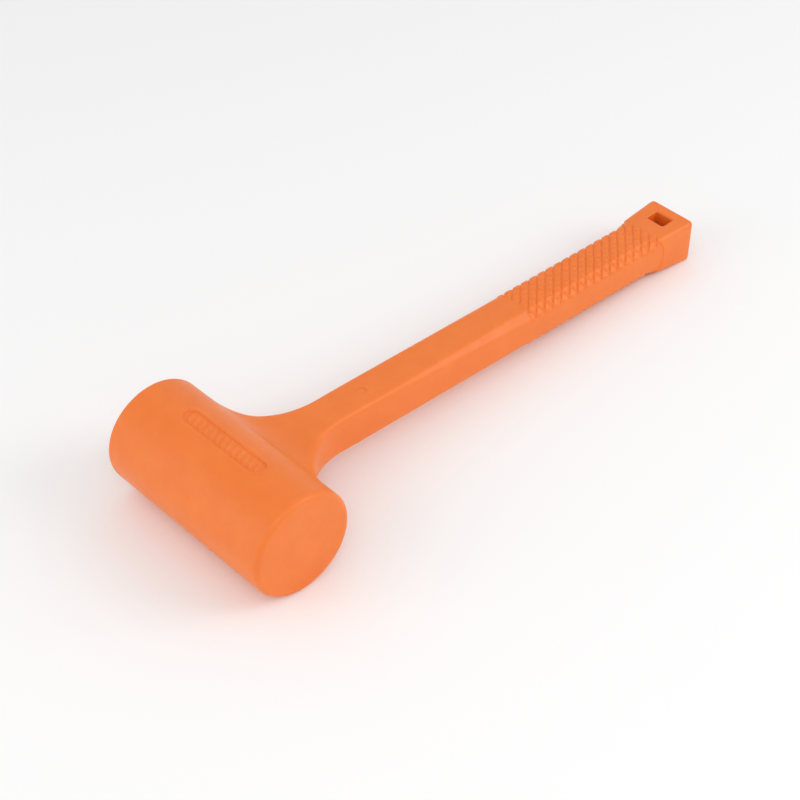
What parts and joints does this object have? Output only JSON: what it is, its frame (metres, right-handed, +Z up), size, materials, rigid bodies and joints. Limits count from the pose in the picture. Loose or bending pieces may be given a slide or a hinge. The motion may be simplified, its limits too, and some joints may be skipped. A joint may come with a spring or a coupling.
{
  "type": "dead blow mallet",
  "caption": "One-piece polyurethane mallet with a cylindrical head, two striking faces, a cross-hatched grip and a hang slot; sliding steel shot inside stops rebound.",
  "frame": {"origin": "centre of the footprint on the ground, with the mallet lying on its head and on the foot of its handle", "axes": "+Z up, +X along the handle from the head to the hang slot, Y along the head between the two striking faces"},
  "size_m": [0.3682, 0.1188, 0.06],
  "materials": {
    "polyurethane": "semi-matte moulded hi-vis orange polyurethane, about 90 Shore A",
    "canister_steel": "drawn steel tube and turned end discs",
    "rod_steel": "hot-rolled round bar",
    "weld_metal": "rippled fillet bead",
    "shot_steel": "round steel shot"
  },
  "bodies": {
    "mallet": {"jacket": "polyurethane", "canister_tube": "canister_steel", "cap_near": "canister_steel", "cap_far": "canister_steel", "cap_weld_near": "weld_metal", "cap_weld_far": "weld_metal", "handle_core": "rod_steel", "core_weld": "weld_metal"},
    "shot_charge": {"shot_layer_01": "shot_steel", "shot_layer_02": "shot_steel", "shot_layer_03": "shot_steel", "shot_layer_04": "shot_steel", "shot_layer_05": "shot_steel", "shot_layer_06": "shot_steel", "shot_layer_07": "shot_steel", "shot_layer_08": "shot_steel", "shot_layer_09": "shot_steel", "shot_layer_10": "shot_steel", "shot_layer_11": "shot_steel", "shot_layer_12": "shot_steel"}
  },
  "joints": [
    {"name": "shot_slide", "type": "slide", "parent": "mallet", "child": "shot_charge", "axis": [0, 1, 0], "range_m": [-0.0124, 0.0124]}
  ]
}
